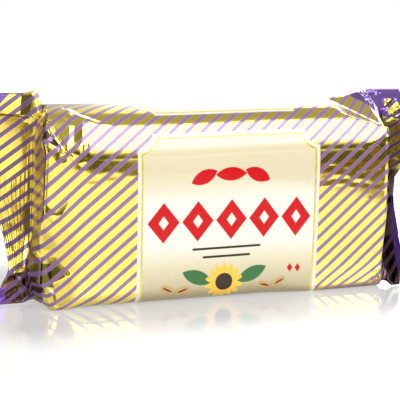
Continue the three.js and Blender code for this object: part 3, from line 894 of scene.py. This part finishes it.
def film_material():
    """Gold foil with opaque print and painted shade, by the flat film's coordinates."""
    material, tree, shader = new_finish("printed_gold_film")
    u, v = uv_fields(tree, "film")
    past_band, _ = uv_fields(tree, "band")
    z = v - BASE_TO_FACE

    ink = stripes(u, v)
    band = inside(past_band, BAND_SOFT)
    front = panel_depth(u, v, PANEL_LEFT, PANEL_RIGHT, PANEL_TOP, PANEL_NOTCH)
    front = front.least(v - PANEL_LOW)
    left, right, low, high = TOP_PANEL
    depth = front.most(panel_depth(u, v, left, right, high, TOP_NOTCH, bottom=low))
    panel = inside(depth)
    line = inside(LINE_HALF - abs(depth - LINE_INSET), THIN_SOFT)
    core = inside(depth - LINE_INSET - LINE_HALF, THIN_SOFT)
    pinch_shadow = pinch_shadow_mask(u, v)
    foot_shade, neck_shade, facet_shade = painted_shade_masks(u, v)
    shade = u.ramp(SHADE_FROM, SHADE_FULL) * inside(v) * inside(SHADE_TOP - v, SHADE_SOFT)
    lap_shadow = inside(LAP_HALF - abs(v - LAP_START - u * LAP_SLOPE)) * u.ramp(LAP_FROM, LAP_FULL)

    cream = Paint(tree, CREAM)
    cream.over(CREAM_LIGHT, z.ramp(*LIGHT_TOP) * z.ramp(*LIGHT_LOW))
    cream.over(TAN, z.ramp(*TAN_FADE))
    ornament = label_print(cream, u, v)
    # Painted shade: the gold is darker where the film turns under the block
    base = (abs(v) - BASE_TO_FACE).ramp(*BASE_FADE)
    paint = Paint(tree, GOLD)
    # Print over the gold, and painted shade at the base, pinch, facet, feet, neck, lap and fins
    for colour, mask in (
            (BASE_SHADE_GOLD, base * u.ramp(BASE_LEFT, BASE_RIGHT, BASE_LEFT_SHARE, 1)),
            (SHADOW_BROWN, pinch_shadow), (FACET_SHADE_OLIVE, facet_shade), (FOOT_SHADE_BROWN, foot_shade.most(neck_shade)),
            (PURPLE, ink), (FIN_SHADE_PURPLE, ink * u.ramp(*FIN_SHADE_PURPLE_FROM)),
            (BULGE_SHADE_PURPLE, ink * u.ramp(*BULGE_SHADE_PURPLE_FROM)), (SHADE_BROWN, shade * SHADE_SHARE),
            (END_PURPLE, band), (SHADE_PURPLE, band * shade),
            (BORDER, panel), (cream, core), (LINE_GOLD, line), (SHADOW_BROWN, lap_shadow)):
        paint.over(colour, mask)
    tree.links.new(paint.socket, shader.inputs["Base Color"])

    # Print and the painted shadow of the lap and pinch are opaque, the gold line, stripes and
    # end bands only in part; the rest is bare foil
    opaque = (panel * (1 - line * LINE_FOIL)).most(ink * STRIPE_OPAQUE * (1 - band))
    opaque = opaque.most(band * BAND_OPAQUE).most(lap_shadow).most(pinch_shadow)
    tree.links.new((1 - opaque).socket, shader.inputs["Metallic"])
    rough = noise(tree, FOIL_BLOTCHES, 3).ramp(*FOIL_SMEAR, *FOIL_ROUGH) + opaque * PRINT_ROUGH
    rough = rough + END_DULL * u.ramp(*END_DULL_FROM) * u.ramp(*END_DULL_TO)
    tree.links.new(rough.socket, shader.inputs["Roughness"])
    shader.inputs["Specular IOR Level"].default_value = FOIL_SPECULAR
    dull = (ornament * panel).most(pinch_shadow * (1 - ink)).most(lap_shadow)
    dull = dull.most(foot_shade * MARK_DULL).most(facet_shade * MARK_DULL).most(shade * SHADE_DULL) * MOST_DULL
    tree.links.new((1 - dull).socket, shader.inputs["Coat Weight"])
    shader.inputs["Coat Roughness"].default_value = COAT_ROUGH

    bump = tree.nodes.new("ShaderNodeBump")
    bump.inputs["Strength"].default_value = FOIL_BUMP
    bump.inputs["Distance"].default_value = FOIL_BUMP_DEEP * MM
    tree.links.new(noise(tree, FOIL_BLOTCHES, 1).socket, bump.inputs["Height"])
    tree.links.new(bump.outputs[0], shader.inputs["Normal"])
    return material


# ---------------------------------------------------------------------------
# Floor, light and camera
# ---------------------------------------------------------------------------
# The floor's edges: left, right, near and far. Under and near the pack it mirrors, and from
# FLOOR_NEAR to FLOOR_FAR away it turns into a plain white glow, which is weaker near the pack as a
# painted shadow. Each pair: at the pack, far off
FLOOR_EDGES = -130, 170, -460, 4000
FLOOR_NEAR, FLOOR_FAR = 5.0, 50.0
FLOOR_WHITE = (0.2, 0.197, 0.193), (0.12, 0.12, 0.12)
FLOOR_GLOSS, FLOOR_ROUGH, FLOOR_GLOW_AND_SHADOW = (0.5, 0.05), (0.08, 0.3), (0.43, 0.84)
FOOTPRINT_HALF_LENGTH, FOOTPRINT_HALF_DEPTH = 60, 18


def add_object(name, data):
    """A new object in the scene."""
    thing = bpy.data.objects.new(name, data)
    bpy.context.scene.collection.objects.link(thing)
    return thing


def add_floor():
    """White floor that mirrors the pack faintly; its glow is weaker near the pack, a painted
    shadow.
    """
    left, right, near, far = (edge * MM for edge in FLOOR_EDGES)
    verts = [(left, near, 0), (right, near, 0), (right, far, 0), (left, far, 0)]
    mesh = bpy.data.meshes.new("floor")
    mesh.from_pydata(verts, [], [(0, 1, 2, 3)])
    floor = add_object("floor", mesh)
    material, tree, shader = new_finish("white_glow_floor")
    place = tree.nodes.new("ShaderNodeTexCoord")
    x, y, _ = (part / MM for part in split_fields(tree, place.outputs["Object"]))
    away = hypot((abs(x) - FOOTPRINT_HALF_LENGTH).most(0.0),
                 (abs(y) - FOOTPRINT_HALF_DEPTH).most(0.0))
    far_off = away.ramp(FLOOR_NEAR, FLOOR_FAR)
    white = Paint(tree, FLOOR_WHITE[0]).over(FLOOR_WHITE[1], far_off)
    tree.links.new(white.socket, shader.inputs["Base Color"])
    shader.inputs["Emission Color"].default_value = (1, 1, 1, 1)
    # The glow is weaker near the pack than far off: a painted shadow round the pack
    for name, values in (("Specular IOR Level", FLOOR_GLOSS), ("Roughness", FLOOR_ROUGH),
                         ("Emission Strength", FLOOR_GLOW_AND_SHADOW)):
        tree.links.new(far_off.ramp(0, 1, *values).socket, shader.inputs[name])
    mesh.materials.append(material)


# The studio: boxes of light by the angle from the front horizon (0) over the top (90) to the
# back horizon (180) and by how far right a direction points (-1 to 1), each with soft edges.
# (low, low full, high full, high) in degrees, the same in x, brightness
STUDIO = [
    ((10, 17, 70, 75), (-0.1, 0.03, 0.6, 0.69), 5.6),
    ((5, 9, 16, 22), (-0.1, 0.03, 0.72, 0.86), 0.75),
    ((117, 124, 181, 182), (0.26, 0.4, 0.8, 0.95), 3.4),
    ((112, 130, 181, 182), (-0.45, -0.3, 0.26, 0.4), 0.55),
    ((20, 30, 100, 118), (-1.3, -1.2, -0.78, -0.6), 1.2),
    ((12, 24, 100, 118), (-0.66, -0.55, -0.12, 0.0), 0.26),
    ((-60, -40, 12, 20), (-1.3, -1.2, -0.6, -0.45), 0.9),
    ((60, 76, 112, 125), (-0.9, -0.6, 0.75, 0.9), 0.32),
    ((12, 20, 60, 76), (0.64, 0.7, 1.2, 1.3), 0.2),
]
# Outside the boxes it is dark, darker at the left and nearly black at the right
STUDIO_DARK, STUDIO_BLACK, STUDIO_LEFT = 0.08, 0.012, 0.03
RIGHT_SIDE, LEFT_SIDE = (0.6, 0.75), (-0.55, -0.35)
# A warm glow just under the front horizon
WARM, WARM_BRIGHT, WARM_RISE, WARM_FALL = (1.0, 0.55, 0.15), 0.3, (-8, -6), (-4.6, -3.4)
WARM_SIDE = (0.68, 0.8)


def add_studio():
    """Light from all round, which the foil mirrors. The camera itself sees plain white."""
    world = bpy.data.worlds.new("studio")
    bpy.context.scene.world = world
    world.use_nodes = True
    tree = world.node_tree
    tree.nodes.clear()
    place = tree.nodes.new("ShaderNodeTexCoord")
    x, y, z = split_fields(tree, place.outputs["Generated"])
    turn = z.math("ARCTAN2", y * -1) * (180 / math.pi)
    level = x.ramp(*RIGHT_SIDE, STUDIO_DARK, STUDIO_BLACK).least(x.ramp(*LEFT_SIDE, STUDIO_LEFT, 1))
    for (a, b, c, d), (left, left_full, right_full, right), bright in STUDIO:
        box = turn.ramp(a, b).least(turn.ramp(c, d, 1, 0))
        side = x.ramp(left, left_full).least(x.ramp(right_full, right, 1, 0))
        level = level + box * side * bright
    warm = turn.ramp(*WARM_RISE).least(turn.ramp(*WARM_FALL, 1, 0))
    tint = Paint(tree, (1, 1, 1)).over(WARM, warm)
    level = level.most(warm * x.ramp(*WARM_SIDE, WARM_BRIGHT, 0.0))
    glow = tree.nodes.new("ShaderNodeBackground")
    tree.links.new(level.socket, glow.inputs["Strength"])
    tree.links.new(tint.socket, glow.inputs["Color"])
    plain = tree.nodes.new("ShaderNodeBackground")
    plain.inputs["Color"].default_value = (1, 1, 1, 1)
    rays = tree.nodes.new("ShaderNodeLightPath")
    choose = tree.nodes.new("ShaderNodeMixShader")
    tree.links.new(rays.outputs["Is Camera Ray"], choose.inputs[0])
    tree.links.new(glow.outputs[0], choose.inputs[1])
    tree.links.new(plain.outputs[0], choose.inputs[2])
    out = tree.nodes.new("ShaderNodeOutputWorld")
    tree.links.new(choose.outputs[0], out.inputs[0])


# The camera: degrees round the pack, up and rolled, its distance from the point it is aimed at, how
# far it is moved right and up, and its focal length in pixels of the frame
CAMERA_AZIMUTH, CAMERA_ELEVATION, CAMERA_ROLL = -22.45, 9.39, 1.37
CAMERA_DISTANCE, CAMERA_RIGHT, CAMERA_UP = 356.2, -1.84, 0.1
CAMERA_AIM = (-0.33, -0.35, 28.5)
FOCAL_PX, FRAME_PX, SENSOR_WIDTH = 1100, 400, 36


def add_camera():
    """Camera at the photograph's viewing angle."""
    data = bpy.data.cameras.new("camera")
    data.sensor_width = SENSOR_WIDTH
    data.lens = FOCAL_PX / FRAME_PX * SENSOR_WIDTH
    data.clip_start, data.clip_end = 0.01, 20
    camera = add_object("camera", data)
    a, e, r = map(math.radians, (CAMERA_AZIMUTH, CAMERA_ELEVATION, CAMERA_ROLL))
    back = Vector((math.sin(a) * math.cos(e), -math.cos(a) * math.cos(e), math.sin(e)))
    right = (-back).cross(Vector((0, 0, 1))).normalized()
    up = right.cross(-back)
    place = Vector(CAMERA_AIM) + back * CAMERA_DISTANCE + right * CAMERA_RIGHT + up * CAMERA_UP
    level_right = right * math.cos(r) + up * math.sin(r)
    level_up = up * math.cos(r) - right * math.sin(r)
    turn = Matrix((level_right, level_up, back)).transposed().to_4x4()
    camera.matrix_world = Matrix.Translation(place * MM) @ turn
    bpy.context.scene.camera = camera


def main():
    """The film in place of the solid, on its floor, lit and seen by the camera."""
    film = add_object("halva_film", film_mesh())
    crimp(film, film_material())
    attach(film, "root")
    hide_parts("halva_pack")
    add_floor()
    add_studio()
    add_camera()
    bpy.context.scene.view_settings.view_transform = "Standard"


main()
